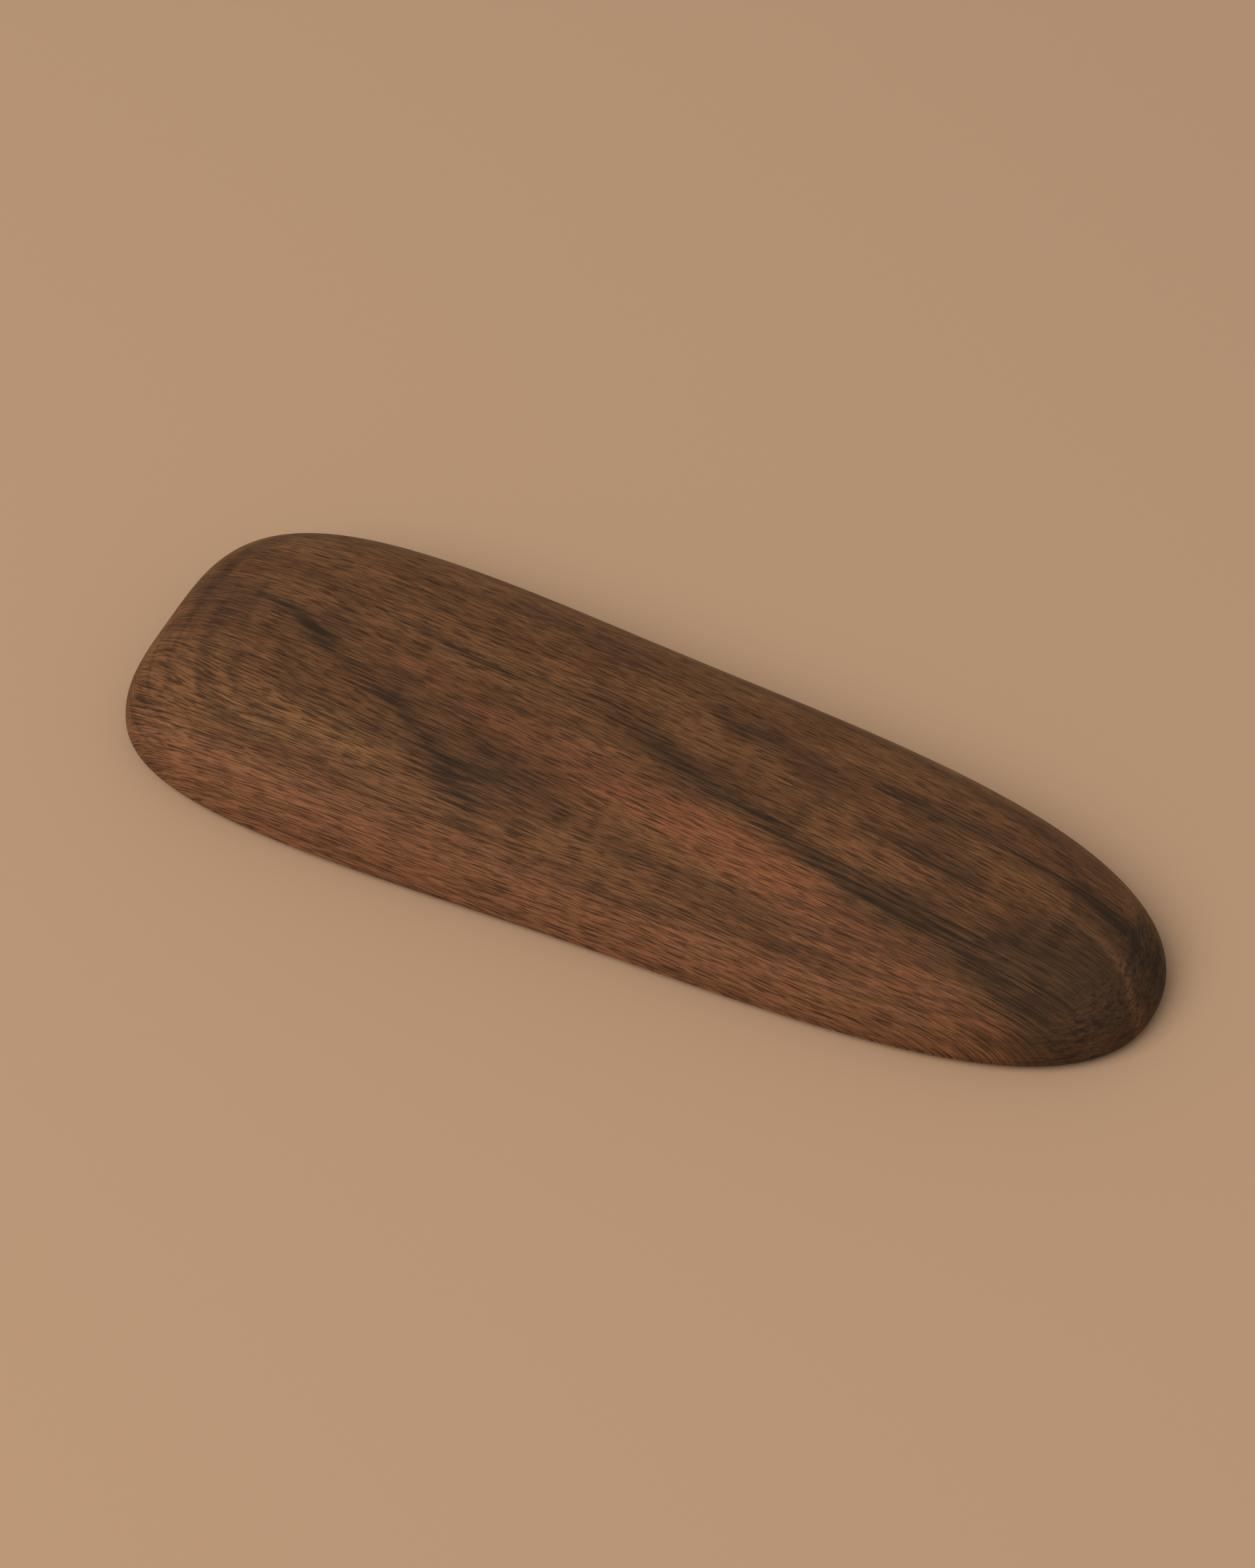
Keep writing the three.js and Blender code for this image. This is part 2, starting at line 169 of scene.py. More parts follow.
def across_power(u):
    """The power of |v| in the outline, which changes evenly from the wide end to the narrow end."""
    return (WIDE_END["across"] * (1 - u) + NARROW_END["across"] * (1 + u)) / 2


def half_width(u):
    """Half of: the middle width, less the taper times u, plus the flare times u squared."""
    return (BODY_WIDTH - END_TAPER * u + END_FLARE * u**2) / 2


def dome_height(x, y):
    """Rounded edge, plus the crown above it times (1 - (|u|^p + |v|^q)^shoulder)^(1 / fullness)."""
    u = np.clip(x / (BODY_LENGTH / 2), -1, 1)
    v = y / half_width(u)
    out = np.abs(u) ** along_power(u) + np.abs(v) ** across_power(u)
    level = np.maximum(0, 1 - out**DOME_SHOULDER)
    return EDGE_RADIUS + (BODY_HEIGHT - CROWN_FALL * u - EDGE_RADIUS) * level ** (1 / DOME_FULLNESS)


def plan_point(angle, side_inset, end_inset, nose, spread):
    """The outline |u|^p + |v|^q = 1 drawn in by its insets, at a share of the way out from the spine.

    The spine is a line along the middle that stops short of each end by the nose. At a spread of 1 a
    point is on the outline, and at 0 on the spine.
    """
    toward = np.cos(angle)
    u = signed_power(toward, 2 / along_power(toward))
    v = signed_power(np.sin(angle), 2 / across_power(u))
    half_length = BODY_LENGTH / 2 - np.where(toward < 0, end_inset["wide"], end_inset["narrow"])
    spine = toward * (half_length - nose)
    return spine + spread * (u * half_length - spine), spread * v * (half_width(u) - side_inset)


def even_angles(count):
    """Angles round the plan that are evenly spaced along its outline, the same on both sides."""
    half = count // 2
    fine = np.linspace(0, np.pi, OUTLINE_STEPS)
    x, y = plan_point(fine, 0, {"wide": 0, "narrow": 0}, DOME_NOSE, 1)
    run = np.concatenate([[0], np.cumsum(np.hypot(np.diff(x), np.diff(y)))])
    upper = np.interp(np.linspace(0, run[-1], half + 1), run, fine)
    return np.concatenate([upper, 2 * np.pi - upper[1:-1][::-1]])


def body_section():
    """Rows of (side inset, wide end inset, narrow end inset, nose, spread, height), from crown to seat.

    The dome's spread is sin(turn)^(2 / fullness) and its height is worked out later, from dome_height. The
    edge is a quarter circle. The hollow's wall is the curve spread^f + (height / top)^f = 1.
    """
    quarter = np.pi / 2
    rows = []
    for turn in np.linspace(0, quarter, DOME_ROWS):
        rows.append((0, 0, 0, DOME_NOSE, np.sin(turn) ** (2 / DOME_FULLNESS), None))
    for turn in np.linspace(0, quarter, EDGE_ROWS)[1:]:
        inset = EDGE_RADIUS * (1 - np.cos(turn))
        rows.append((inset, inset, inset, DOME_NOSE, 1, EDGE_RADIUS * (1 - np.sin(turn))))
    top = SEAT_HEIGHT + HOLLOW_RISE
    land = np.arcsin((SEAT_HEIGHT / top) ** (HOLLOW_FULLNESS / 2))
    rim = {"inset": RIM_WIDTH, "wide": END_WALL["wide"], "narrow": END_WALL["narrow"]}
    for share in np.linspace(0, 1, RIM_ROWS)[1:-1]:
        inset = [EDGE_RADIUS + share * (rim[key] - EDGE_RADIUS) for key in rim]
        nose = DOME_NOSE + share * (HOLLOW_NOSE - DOME_NOSE)
        rows.append((*inset, nose, 1, 0))
    for turn in np.linspace(0, quarter, EASE_ROWS):
        ease = RIM_EASE * (1 - np.sin(turn))
        lift = RIM_EASE * (1 - np.cos(turn))
        rows.append((rim["inset"] - ease, rim["wide"] - ease, rim["narrow"] - ease, HOLLOW_NOSE, 1, lift))
    for turn in np.linspace(0, land, HOLLOW_ROWS)[1:]:
        height = top * np.sin(turn) ** (2 / HOLLOW_FULLNESS)
        if height > RIM_EASE:
            spread = np.cos(turn) ** (2 / HOLLOW_FULLNESS)
            rows.append((*rim.values(), HOLLOW_NOSE, spread, height))
    seat_reach = np.cos(land) ** (2 / HOLLOW_FULLNESS)
    for share in SEAT_RINGS:
        rows.append((*rim.values(), HOLLOW_NOSE, share * seat_reach, SEAT_HEIGHT))
    return rows


def walnut_body():
    """Rings of the plan outline carried up the section: dome, rounded edge, rim, hollow and seat."""
    angles = even_angles(BODY_SIDES)
    rings = []
    for side, wide, narrow, nose, spread, height in body_section():
        x, y = plan_point(angles, side, {"wide": wide, "narrow": narrow}, nose, spread)
        z = dome_height(x, y) if height is None else np.full_like(x, height)
        rings.append(np.stack([x, y, z], axis=-1))
    points = np.concatenate(rings) * MM
    faces = ring_faces(len(rings), BODY_SIDES)[:, ::-1]
    piece = closed_mesh("walnut_back", points, faces)
    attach(piece, "back")
    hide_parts("walnut_body")
    mark_figure_and_painted_light(piece)
    return piece


# ---------------------------------------------------------------- the figure of the timber, and painted light and shade
# In plan, in mm: the middle line, half-width and strength of each marking at places along x.
MARKINGS = {
    "vein": [
        {  # from the wide end across the middle to the nose
            "x": (-42, -31, -21, -11, -4, 1, 7, 13, 22, 32, 38, 43),
            "y": (7.2, 4.3, 2.8, 2.2, 1.5, 0.6, -2.0, -3.2, -5.8, -6.7, -8.5, -9.0),
            "half": (0.6, 0.6, 0.7, 1.2, 2.2, 2.0, 1.2, 1.4, 1.7, 1.9, 2.2, 2.5),
            "strength": (0, 0.5, 0.8, 0.5, 0.6, 0.75, 0.7, 0.85, 0.9, 0.85, 0.8, 0.6),
        },
        {  # hooked band near the wide end
            "x": (-46, -38, -34.5, -29.7, -24, -20, -15, -11, -9),
            "y": (4.6, 1.6, 0.3, -2.8, -4.6, -7.2, -10.2, -13.5, -15),
            "half": (0.8, 0.7, 0.9, 1.3, 1.7, 2.0, 2.2, 2.2, 2.0),
            "strength": (0.2, 0.7, 1.2, 0.65, 0.6, 0.75, 0.75, 0.5, 0),
        },
        {  # far side of the nose
            "x": (0, 7, 13, 19, 22, 28, 33, 37, 42, 47),
            "y": (6.6, 5.6, 6.0, 5.8, 5.2, 4.8, 4.6, 3.7, 4.0, 2.0),
            "half": (0.9, 1.1, 1.0, 0.9, 1.0, 1.1, 1.2, 1.3, 1.6, 2.0),
            "strength": (0, 0.65, 0.4, 0.5, 0.75, 0.85, 0.55, 0.8, 0.9, 0.9),
        },
        {  # short vein behind the nose
            "x": (12, 15, 20, 24, 29, 35, 38),
            "y": (1.5, 1.2, 0.6, 0.2, -0.8, -0.4, -0.4),
            "half": (0.6, 0.7, 0.7, 0.8, 0.8, 0.8, 0.8),
            "strength": (0, 0.5, 0.45, 0.7, 0.6, 0.3, 0),
        },
    ],
    # darker patches of the wood, and painted shade over the nose
    "dark_wood_and_painted_shade": [
        {  # painted shade where the nose turns away from the light, over wood that is darker there too
            "x": (30, 35, 39, 42, 46, 50),
            "y": (-3.5, -4.2, -5.0, -5.0, -3.0, -1.0),
            "half": (2.0, 3.4, 6.0, 9.0, 11.0, 11.0),
            "strength": (0, 0.5, 0.75, 0.85, 0.95, 1.0),
        },
        {  # smoky patch at the wide end
            "x": (-50, -46, -40, -35, -30),
            "y": (2.5, 2.5, 1.5, 0.3, -1.5),
            "half": (3.5, 3.5, 2.6, 2.2, 1.5),
            "strength": (0.5, 0.6, 0.5, 0.6, 0),
        },
        {  # smoky patch under the hooked band
            "x": (-22, -17, -12, -6, 0),
            "y": (-7.0, -8.5, -9.5, -9.5, -9.0),
            "half": (1.5, 2.4, 2.8, 2.2, 1.2),
            "strength": (0, 0.4, 0.6, 0.45, 0),
        },
    ],
    "red": [
        {  # red heartwood along the near side
            "x": (-28, -19, -8, 5, 14, 25, 36, 42),
            "y": (0.6, -2.5, -4.5, -6.0, -8.0, -10.5, -12.0, -12.0),
            "half": (1.5, 2.0, 3.0, 3.2, 3.2, 2.6, 2.0, 2.0),
            "strength": (0.4, 0.6, 0.9, 1.0, 1.0, 0.9, 0.6, 0.3),
        },
        {  # between the veins of the nose
            "x": (16, 20, 27, 36, 40),
            "y": (-2.0, -2.4, -2.4, -2.2, -2.0),
            "half": (1.3, 1.4, 1.4, 1.2, 1.0),
            "strength": (0, 0.55, 0.5, 0.4, 0),
        },
    ],
    "near": [
        {  # lighter strip along the near edge: painted light on the flank that faces the light, over wood a little lighter there
            "x": (-46, -40, -30, 0, 20, 36, 41),
            "y": (-12.5, -15.0, -16.5, -16.0, -14.8, -12.6, -10.5),
            "half": (1.8, 2.0, 2.1, 2.1, 2.0, 1.5, 1.0),
            "strength": (0.6, 0.9, 1.0, 0.9, 0.8, 0.5, 0),
        },
    ],
    "gold_and_painted_light": [
        {  # paler cloud near the wide end
            "x": (-46, -37, -30, -24, -17),
            "y": (-9.0, -10.0, -10.5, -11.0, -12.5),
            "half": (2.5, 2.8, 3.0, 2.8, 2.0),
            "strength": (0.3, 0.6, 0.9, 0.8, 0),
        },
        {  # paler wood of the far side, lightened further as a painted reflection of the bright floor at a glancing angle
            "x": (-46, -30, 0, 25, 40),
            "y": (12.0, 14.5, 13.5, 12.5, 10.5),
            "half": (4.0, 4.5, 4.5, 4.0, 3.0),
            "strength": (0.4, 0.5, 0.5, 0.5, 0.2),
        },
    ],
    "thread": [
        {  # pale thread that turns in at the nose
            "x": (18, 22, 28, 36, 44, 47, 48.5),
            "y": (2.6, 2.4, 1.5, 1.3, 0.2, -1.0, -3.0),
            "half": (0.5, 0.6, 0.6, 0.6, 0.7, 0.9, 1.2),
            "strength": (0, 0.5, 0.7, 0.6, 0.8, 0.8, 0.7),
        },
    ],
}


def marking_share(x, y, marking):
    """Strength times exp(-(distance from the middle line over half-width) squared), in plan."""
    middle = np.interp(x, marking["x"], marking["y"])
    half = np.interp(x, marking["x"], marking["half"])
    strength = np.interp(x, marking["x"], marking["strength"])
    return strength * np.exp(-(((y - middle) / half) ** 2))


def grain_places(x, y, z):
    """Two sets of fibre coordinates in mm: one that follows the surface, and one of the solid timber.

    Both run along x and are sheared by a drift of a few degrees, plus a bend that grows with the cube of
    the way to the wide end. The shear fades out towards the near edge.
    On the surface, y is stretched towards the flanks by a share of the height lost there, measured from
    half-way between the highest crown and the crown at that x.
    """
    bend = np.maximum(0, -x / BEND_REACH) ** 3
    hold = np.clip((y - BEND_EDGE) / BEND_FADE, 0, 1)
    shear = (GRAIN_DRIFT * x - GRAIN_BEND * bend) * smooth_step(hold)
    lost = (BODY_HEIGHT + dome_height(x, np.zeros_like(y))) / 2 - z
    girth = y + FLANK_SHARE * lost * y / (BODY_WIDTH / 2)
    surface = np.stack([x, girth + shear, np.zeros_like(z)], axis=-1)
    solid = np.stack([x, y + shear, z], axis=-1)
    return surface, solid


def mark_figure_and_painted_light(piece):
    """Writes the fibre coordinates and the share of each kind of marking, painted light and shade among
    them, into the mesh's attributes.
    """
    mesh = piece.data
    flat = np.empty(len(mesh.vertices) * 3)
    mesh.vertices.foreach_get("co", flat)
    x, y, z = flat.reshape(-1, 3).T / MM
    for name, place in zip(("surface_grain", "solid_grain"), grain_places(x, y, z)):
        mesh.attributes.new(name, "FLOAT_VECTOR", "POINT").data.foreach_set("vector", place.ravel())
    mesh.vertex_normals.foreach_get("vector", flat)
    facing = flat.reshape(-1, 3)[:, 0]
    begins = np.where(facing < 0, END_GRAIN_FROM["wide"], END_GRAIN_FROM["narrow"])
    turned = np.clip((np.abs(facing) - begins) / END_GRAIN_OVER, 0, 1)
    shares = {"end_grain": smooth_step(turned)}
    for kind, markings in MARKINGS.items():
        shares[kind] = np.max([marking_share(x, y, marking) for marking in markings], axis=0)
    for kind, share in shares.items():
        mesh.attributes.new(kind, "FLOAT", "POINT").data.foreach_set("value", share.astype(np.float32))


# ---------------------------------------------------------------- material helpers
def linear(hex_colour):
    """An sRGB hex colour as linear red, green, blue and alpha."""
    channels = [int(hex_colour[i:i + 2], 16) / 255 for i in (1, 3, 5)]
    return [c / 12.92 if c <= 0.04045 else ((c + 0.055) / 1.055) ** 2.4 for c in channels] + [1.0]


def add(tree, kind, inputs=None, out=0, **settings):
    """Adds a shader node, makes its settings, sets or links its inputs, and returns an output if any."""
    node = tree.nodes.new("ShaderNode" + kind)
    for name, value in settings.items():
        setattr(node, name, value)
    for key, value in (inputs or {}).items():
        if isinstance(value, bpy.types.NodeSocket):
            tree.links.new(value, node.inputs[key])
        else:
            node.inputs[key].default_value = value
    return node.outputs[out] if node.outputs else None


def new_material(name):
    """A material with an empty node tree, and that tree."""
    material = bpy.data.materials.new(name)
    material.use_nodes = True
    material.node_tree.nodes.clear()
    return material, material.node_tree


def cells(along, across, unit=1.0):
    """Scale factors for a pattern whose cell is this long and this wide, counted in the given unit."""
    return 1 / (along * unit), 1 / (across * unit), 1 / (across * unit)


VALUE, START, FULL, LEAST, MOST = 0, 1, 2, 3, 4  # the sockets of a Map Range node
SHARE, NUMBER_A, NUMBER_B = 0, 2, 3  # the share and the number sockets of a Mix node
COLOUR_A, COLOUR_B, COLOUR_OUT = 6, 7, 2  # and its colour sockets


# ---------------------------------------------------------------- oiled walnut
# Each pattern of the timber: its cell along the fibres and across them in mm, detail and roughness.
# Single fibres are too fine to show, so "fibre" is drawn as the bundles that the eye makes out.
PATTERNS = {
    "pore": (2.8, 0.13, 1.0, 0.4),
    "fine_pore": (1.6, 0.1, 1.0, 0.4),
    "fibre": (5.0, 0.2, 4.0, 0.65),
    "streak": (10.0, 0.45, 3.0, 0.6),
    "mottle": (5.0, 1.5, 3.0, 0.6),
    "cloud": (16.0, 4.0, 3.0, 0.55),
}
# Where an end cuts the timber, a mark's cell is half as long, and this much wider than it is deep.
END_SHORTENING = 2.0
LAYER_SPREAD = 5.0
RING = (40.0, 16.0, 0.9)  # the growth layers: their cell along, across and through the timber, in mm
WAVER = (24.0, 9.0)  # slow wander of the fibres: its cell along and across, in mm
WAVER_REACH = 1.3  # how far it carries them sideways, in mm
PORE_DEPTH = 0.03  # mm

# Pores: where each of the two patterns starts to show as one, where it is full, and how dark it gets.
PORES = {"pore": (0.52, 0.62, 0.66), "fine_pore": (0.52, 0.64, 0.55)}

# How markings are broken up: the pattern that does it and how strongly.
BROKEN_BY = {
    "dark_wood_and_painted_shade": ("streak", 1.6),
    "red": ("mottle", 1.4),
    "gold_and_painted_light": ("mottle", 1.0),
    "vein": ("streak", 3.0),
    "near": ("mottle", 0.8),
    "thread": ("mottle", 0.8),
}

GROUND = "#664228"  # plain brown heartwood
# Layers of colour over the ground: what drives each, where it starts and is full, its most, its colour.
LAYERS = [
    ("cloud", 0.38, 0.62, 1.0, "#775031"),
    ("red", 0.15, 1.1, 0.85, "#91593a"),
    # paler wood, and a painted reflection along the far flank
    ("gold_and_painted_light", 0.15, 1.1, 0.7, "#926740"),
    # painted light on the near flank, which faces the light
    ("near", 0.2, 0.9, 0.8, "#8d5e41"),
    ("ring", 0.5, 0.36, 0.4, "#33251a"),
    ("fibre", 0.48, 0.74, 0.3, "#98694a"),
    ("fibre", 0.52, 0.3, 0.45, "#33241a"),
    ("streak", 0.48, 0.33, 0.5, "#37271b"),
    # painted shade over the nose, and darker patches of the wood
    ("dark_wood_and_painted_shade", 0.05, 1.15, 0.85, "#33281c"),
    ("vein", 0.15, 1.15, 0.9, "#292017"),
    ("thread", 0.2, 1.1, 0.65, "#7a5236"),
    ("dash", 0.0, 1.0, 1.0, "#281d14"),
]


def timber_cells(source, along, across):
    """A pattern's scale factors: long cells on the surface, and flat ones along the layers in the solid."""
    if source == "surface_grain":
        return cells(along, across)
    return END_SHORTENING / along, 1 / (LAYER_SPREAD * across), 1 / across


def timber_patterns(tree, solid):
    """Every pattern on the surface fibres, turning into the same pattern of the solid at end grain."""
    end_grain = add(tree, "Attribute", out="Fac", attribute_name="end_grain")
    waver = add(tree, "VectorMath", {0: solid, 1: cells(*WAVER)}, operation="MULTIPLY")
    waver = add(tree, "TexNoise", {"Vector": waver, "Scale": 1.0, "Detail": 1.0}, out="Color")
    waver = add(tree, "VectorMath", {0: waver, 1: (0.0, WAVER_REACH, 0.0)}, operation="MULTIPLY")
    drive = {}
    for source in ("surface_grain", "solid_grain"):
        place = add(tree, "Attribute", out="Vector", attribute_name=source)
        grain = add(tree, "VectorMath", {0: place, 1: waver}, operation="ADD")
        for name, (along, across, detail, roughness) in PATTERNS.items():
            scale = timber_cells(source, along, across)
            scaled = add(tree, "VectorMath", {0: grain, 1: scale}, operation="MULTIPLY")
            noise = {"Vector": scaled, "Scale": 1.0, "Detail": detail, "Roughness": roughness}
            value = add(tree, "TexNoise", noise)
            if name in drive:
                both = {SHARE: end_grain, NUMBER_A: drive[name], NUMBER_B: value}
                value = add(tree, "Mix", both, data_type="FLOAT")
            drive[name] = value
    return drive


def timber_marks(tree, solid, drive):
    """Adds what the patterns make: markings with broken edges, pores, and the growth layers.

    The layers lie flat in the timber, so they show as rings where the nose and the flanks cut them.
    """
    for kind, (pattern, amount) in BROKEN_BY.items():
        share = add(tree, "Attribute", out="Fac", attribute_name=kind)
        uneven = add(tree, "Math", {0: drive[pattern], 1: amount, 2: -amount / 2}, operation="MULTIPLY_ADD")
        drive[kind] = add(tree, "Math", {0: share, 1: uneven}, operation="ADD")
    pores = []
    for name, (start, full, most) in PORES.items():
        limits = {VALUE: drive[name], START: start, FULL: full, LEAST: 0.0, MOST: most}
        pores.append(add(tree, "MapRange", limits, interpolation_type="SMOOTHSTEP"))
    drive["dash"] = add(tree, "Math", {0: pores[0], 1: pores[1]}, operation="MAXIMUM")
    layers = add(tree, "VectorMath", {0: solid, 1: tuple(1 / size for size in RING)}, operation="MULTIPLY")
    drive["ring"] = add(tree, "TexNoise", {"Vector": layers, "Scale": 1.0, "Detail": 2.0})


def oiled_walnut():
    """Black walnut, sanded and oiled: a dull satin brown, with short dark pores, dark veins, red clouds,
    and painted light and shade on the near flank, the far side and the nose.
    """
    material, tree = new_material("oiled_walnut")
    solid = add(tree, "Attribute", out="Vector", attribute_name="solid_grain")
    drive = timber_patterns(tree, solid)
    timber_marks(tree, solid, drive)

    colour = linear(GROUND)
    for name, start, full, most, tone in LAYERS:
        limits = {VALUE: drive[name], START: start, FULL: full, LEAST: 0.0, MOST: most}
        share = add(tree, "MapRange", limits, interpolation_type="SMOOTHSTEP")
        over = {SHARE: share, COLOUR_A: colour, COLOUR_B: linear(tone)}
        colour = add(tree, "Mix", over, COLOUR_OUT, data_type="RGBA")

    # Oil sits on the hard fibres and sinks into the pores, so a pore is duller and lower.
    gloss = add(tree, "MapRange", {VALUE: drive["dash"], START: 0.0, FULL: 1.0, LEAST: 0.7, MOST: 0.9})
    relief = add(tree, "Math", {0: drive["dash"], 1: -1.0, 2: drive["fibre"]}, operation="MULTIPLY_ADD")
    bump = add(tree, "Bump", {"Height": relief, "Strength": 0.4, "Distance": PORE_DEPTH * MM})
    skin = add(tree, "BsdfPrincipled", {
        "Base Color": colour, "Roughness": gloss, "Normal": bump, "IOR": 1.46, "Specular IOR Level": 0.16,
        "Sheen Weight": 0.12, "Sheen Roughness": 0.35, "Sheen Tint": linear("#d8b08a"),
    })
    add(tree, "OutputMaterial", {"Surface": skin})
    return material


# ---------------------------------------------------------------- metals, patterns in millimetres
# Real scratches and rolling lines are some ten times finer, and are drawn this coarse so that they show.
FINE_SCRATCH = (6.0, 0.12)  # length and width
ROLLING_LINE = (9.0, 0.16)
SCRATCH_DEPTH = 0.01
RUB_CLOUD = 3.5  # the size of a cloud that fingers leave on the plate
STEEL_BLOTCH = 2.5
TARNISH_PATCH = 1.2
MIDDLE = {START: 0.3, FULL: 0.7}  # where most values of a noise pattern lie


def nickel_plate():
    """Bright nickel plate on stamped steel: a warm silver, cloudy where fingers rub it, with scratches."""
    material, tree = new_material("nickel_plated_steel")
    place = add(tree, "TexCoord", out="Object")
    size = 1 / (RUB_CLOUD * MM)
    cloud = add(tree, "TexNoise", {"Vector": place, "Scale": size, "Detail": 4.0, "Roughness": 0.55})
    scaled = add(tree, "VectorMath", {0: place, 1: cells(*FINE_SCRATCH, MM)}, operation="MULTIPLY")
    scratch = add(tree, "TexNoise", {"Vector": scaled, "Scale": 1.0, "Detail": 2.0, "Roughness": 0.6})
    tones = {SHARE: cloud, COLOUR_A: linear("#c9c4b8"), COLOUR_B: linear("#dedad0")}
    tint = add(tree, "Mix", tones, COLOUR_OUT, data_type="RGBA")
    gloss = add(tree, "MapRange", {VALUE: cloud, **MIDDLE, LEAST: 0.24, MOST: 0.31})
    bump = add(tree, "Bump", {"Height": scratch, "Strength": 0.12, "Distance": SCRATCH_DEPTH * MM})
    skin = {"Base Color": tint, "Metallic": 1.0, "Roughness": gloss, "Normal": bump}
    add(tree, "OutputMaterial", {"Surface": add(tree, "BsdfPrincipled", skin)})
    return material


def spring_steel():
    """Tumbled spring steel: a greyer, softer shine than the plate, with faint rolling lines along it."""
    material, tree = new_material("tumbled_spring_steel")
    place = add(tree, "TexCoord", out="Object")
    scaled = add(tree, "VectorMath", {0: place, 1: cells(*ROLLING_LINE, MM)}, operation="MULTIPLY")
    line = add(tree, "TexNoise", {"Vector": scaled, "Scale": 1.0, "Detail": 3.0, "Roughness": 0.6})
    blotch = add(tree, "TexNoise", {"Vector": place, "Scale": 1 / (STEEL_BLOTCH * MM), "Detail": 3.0})
    tones = {SHARE: blotch, COLOUR_A: linear("#a5a39d"), COLOUR_B: linear("#bfbcb4")}
    tint = add(tree, "Mix", tones, COLOUR_OUT, data_type="RGBA")
    gloss = add(tree, "MapRange", {VALUE: line, **MIDDLE, LEAST: 0.28, MOST: 0.46})
    bump = add(tree, "Bump", {"Height": line, "Strength": 0.2, "Distance": SCRATCH_DEPTH * MM})
    skin = {"Base Color": tint, "Metallic": 1.0, "Roughness": gloss, "Normal": bump}
    add(tree, "OutputMaterial", {"Surface": add(tree, "BsdfPrincipled", skin)})
    return material


def turned_brass():
    """Turned brass screws, handled: a yellow shine with darker, duller tarnish in patches."""
    material, tree = new_material("turned_brass")
    place = add(tree, "TexCoord", out="Object")
    tarnish = add(tree, "TexNoise", {"Vector": place, "Scale": 1 / (TARNISH_PATCH * MM), "Detail": 4.0})
    tones = {SHARE: tarnish, COLOUR_A: linear("#a07c3c"), COLOUR_B: linear("#d0ab63")}
    tint = add(tree, "Mix", tones, COLOUR_OUT, data_type="RGBA")
    gloss = add(tree, "MapRange", {VALUE: tarnish, **MIDDLE, LEAST: 0.42, MOST: 0.24})
    skin = {"Base Color": tint, "Metallic": 1.0, "Roughness": gloss}
    add(tree, "OutputMaterial", {"Surface": add(tree, "BsdfPrincipled", skin)})
    return material


# ---------------------------------------------------------------- clip pieces
def eased_copy(node, body, material, ease):
    """A copy of a clip piece with its facets joined into flat faces and its edges eased by a bevel."""
    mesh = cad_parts[node].data.copy()
    work = bmesh.new()
    work.from_mesh(mesh)
    bmesh.ops.remove_doubles(work, verts=work.verts, dist=FACET_GAP * MM)
    bmesh.ops.dissolve_limit(work, angle_limit=FLAT_WITHIN, verts=work.verts, edges=work.edges)
    work.to_mesh(mesh)
    work.free()
    mesh.shade_smooth()
    mesh.set_sharp_from_angle(angle=SHARP_BEYOND)
    piece = bpy.data.objects.new(f"{node}_finished", mesh)
    bpy.context.scene.collection.objects.link(piece)
    bevel = piece.modifiers.new("eased edges", "BEVEL")
    bevel.width = ease * MM
    bevel.segments = BEVEL_STEPS
    bevel.limit_method = "ANGLE"
    bevel.angle_limit = SHARP_BEYOND
    bevel.harden_normals = True
    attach(piece, body)
    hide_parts(node)
    mesh.materials.clear()
    mesh.materials.append(material)


# ---------------------------------------------------------------- set
def lay_floor():
    """A plain, pale, flat square under the barrette, dull all over."""
    material, tree = new_material("pale_ground")
    skin = add(tree, "BsdfPrincipled", {"Base Color": linear("#b8977a"), "Roughness": 0.9})
    add(tree, "OutputMaterial", {"Surface": skin})
    mesh = bpy.data.meshes.new("floor")
    corners = [(x * FLOOR_REACH, y * FLOOR_REACH, 0) for x, y in ((-1, -1), (1, -1), (1, 1), (-1, 1))]
    mesh.from_pydata(corners, [], [(0, 1, 2, 3)])
    mesh.materials.append(material)
    floor = bpy.data.objects.new("floor", mesh)
    bpy.context.scene.collection.objects.link(floor)


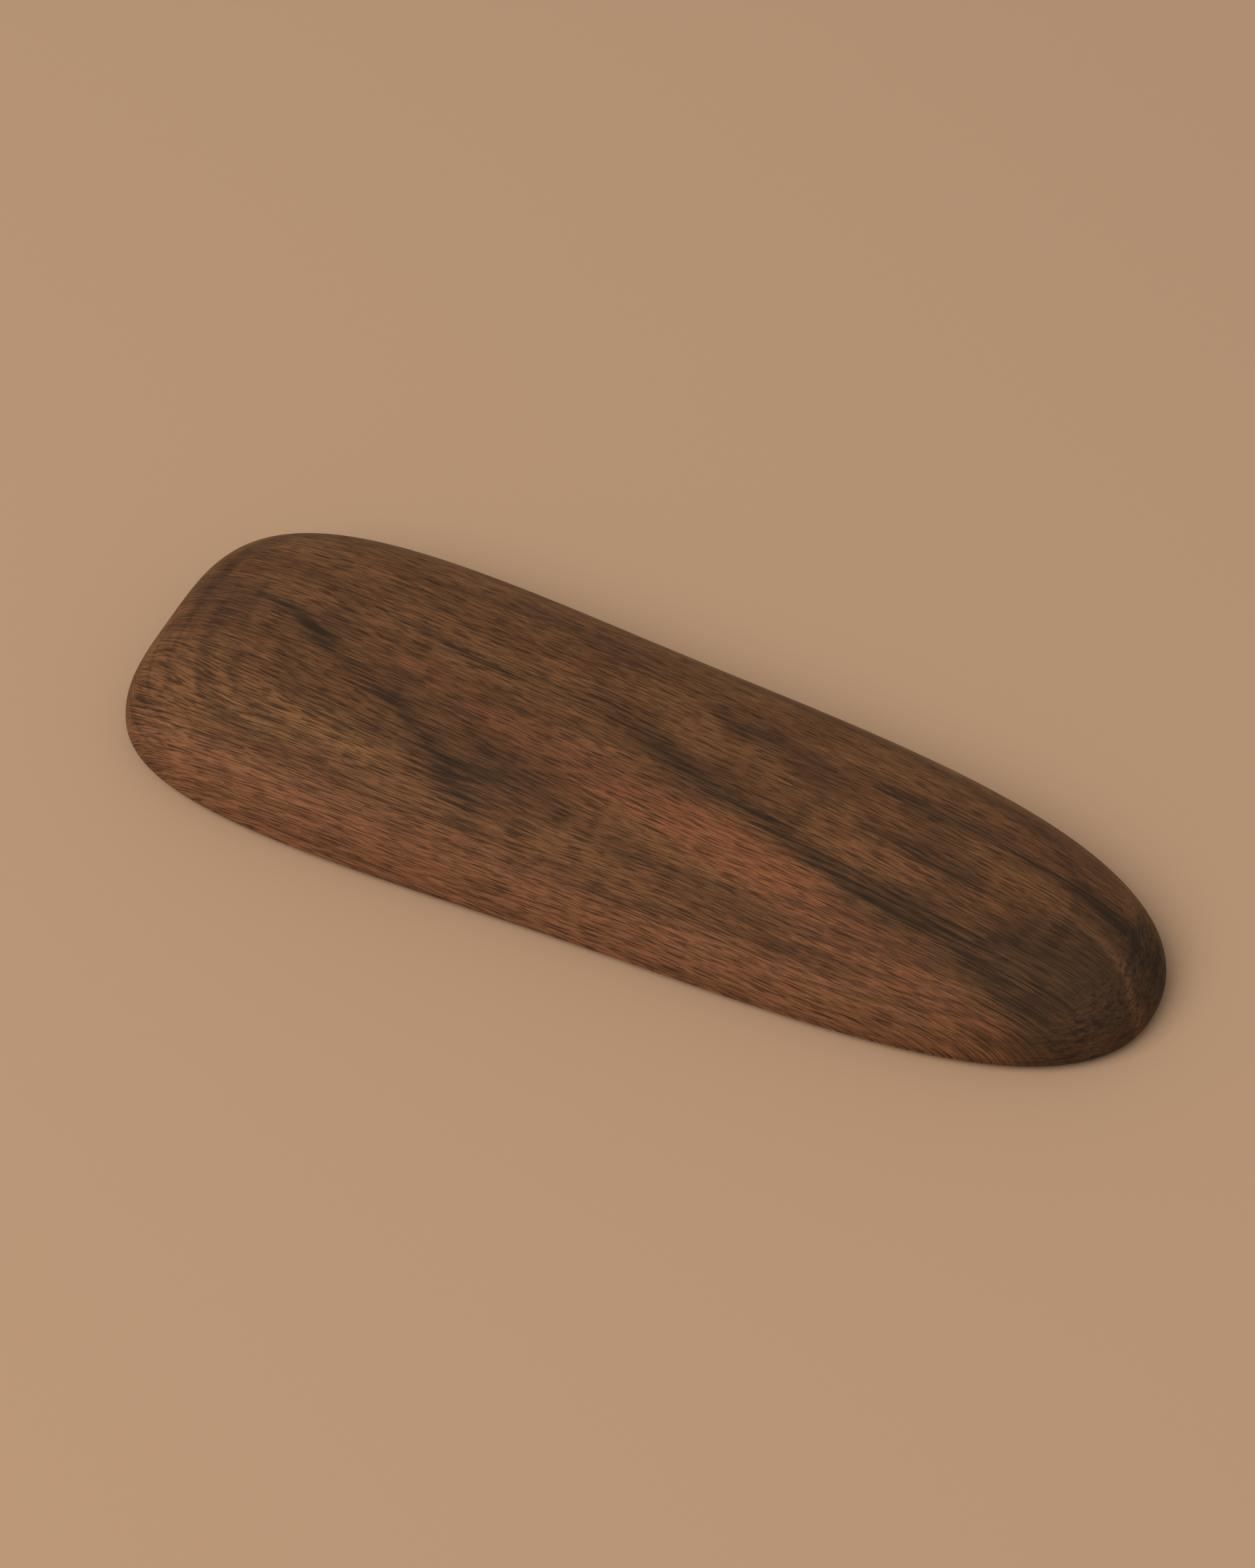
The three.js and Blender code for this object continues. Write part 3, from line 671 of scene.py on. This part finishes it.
def soft_light(name, toward, distance, width, power, colour):
    """A round area light that hangs in a direction from the barrette and faces it, in metres and watts."""
    lamp = bpy.data.lights.new(name, "AREA")
    lamp.shape = "DISK"
    lamp.size = width
    lamp.energy = power
    lamp.color = linear(colour)[:3]
    holder = bpy.data.objects.new(name, lamp)
    bpy.context.scene.collection.objects.link(holder)
    away = Vector(toward).normalized()
    holder.location = away * distance
    holder.rotation_euler = away.to_track_quat("Z", "Y").to_euler()


def light_scene():
    """One broad soft light from the near left, and even light from a plain room."""
    soft_light("key", **KEY_LIGHT)
    world = bpy.data.worlds.new("room")
    world.use_nodes = True
    background = world.node_tree.nodes["Background"]
    background.inputs["Color"].default_value = linear(ROOM_LIGHT["colour"])
    background.inputs["Strength"].default_value = ROOM_LIGHT["strength"]
    bpy.context.scene.world = world
    bpy.context.scene.view_settings.view_transform = "Standard"


def place_camera():
    """Looks down at 50 degrees from the long near side, turned 24 degrees towards the narrow end."""
    side, front = math.sin(CAMERA_TURN), math.cos(CAMERA_TURN)
    away = Vector((side * math.cos(CAMERA_RISE), -front * math.cos(CAMERA_RISE), math.sin(CAMERA_RISE)))
    level = Vector((front, side, 0))
    upward = away.cross(level)
    right = math.cos(CAMERA_ROLL) * level + math.sin(CAMERA_ROLL) * upward
    turned = Matrix((right, away.cross(right), away)).transposed().to_4x4()
    lens = bpy.data.cameras.new("camera")
    lens.sensor_width = FILM_WIDTH
    lens.lens = LENS_LENGTH
    lens.clip_start = NEAREST * MM
    camera = bpy.data.objects.new("camera", lens)
    bpy.context.scene.collection.objects.link(camera)
    stand = (Vector(CAMERA_AIM) + away * CAMERA_DISTANCE) * MM
    camera.matrix_world = Matrix.Translation(stand) @ turned
    bpy.context.scene.camera = camera


# ---------------------------------------------------------------- the barrette
place_camera()
light_scene()
lay_floor()

walnut_body().data.materials.append(oiled_walnut())

finishes = {"nickel_plate": nickel_plate(), "spring_steel": spring_steel(), "brass": turned_brass()}
for node, body, finish, ease in CLIP_PIECES:
    eased_copy(node, body, finishes[finish], ease)
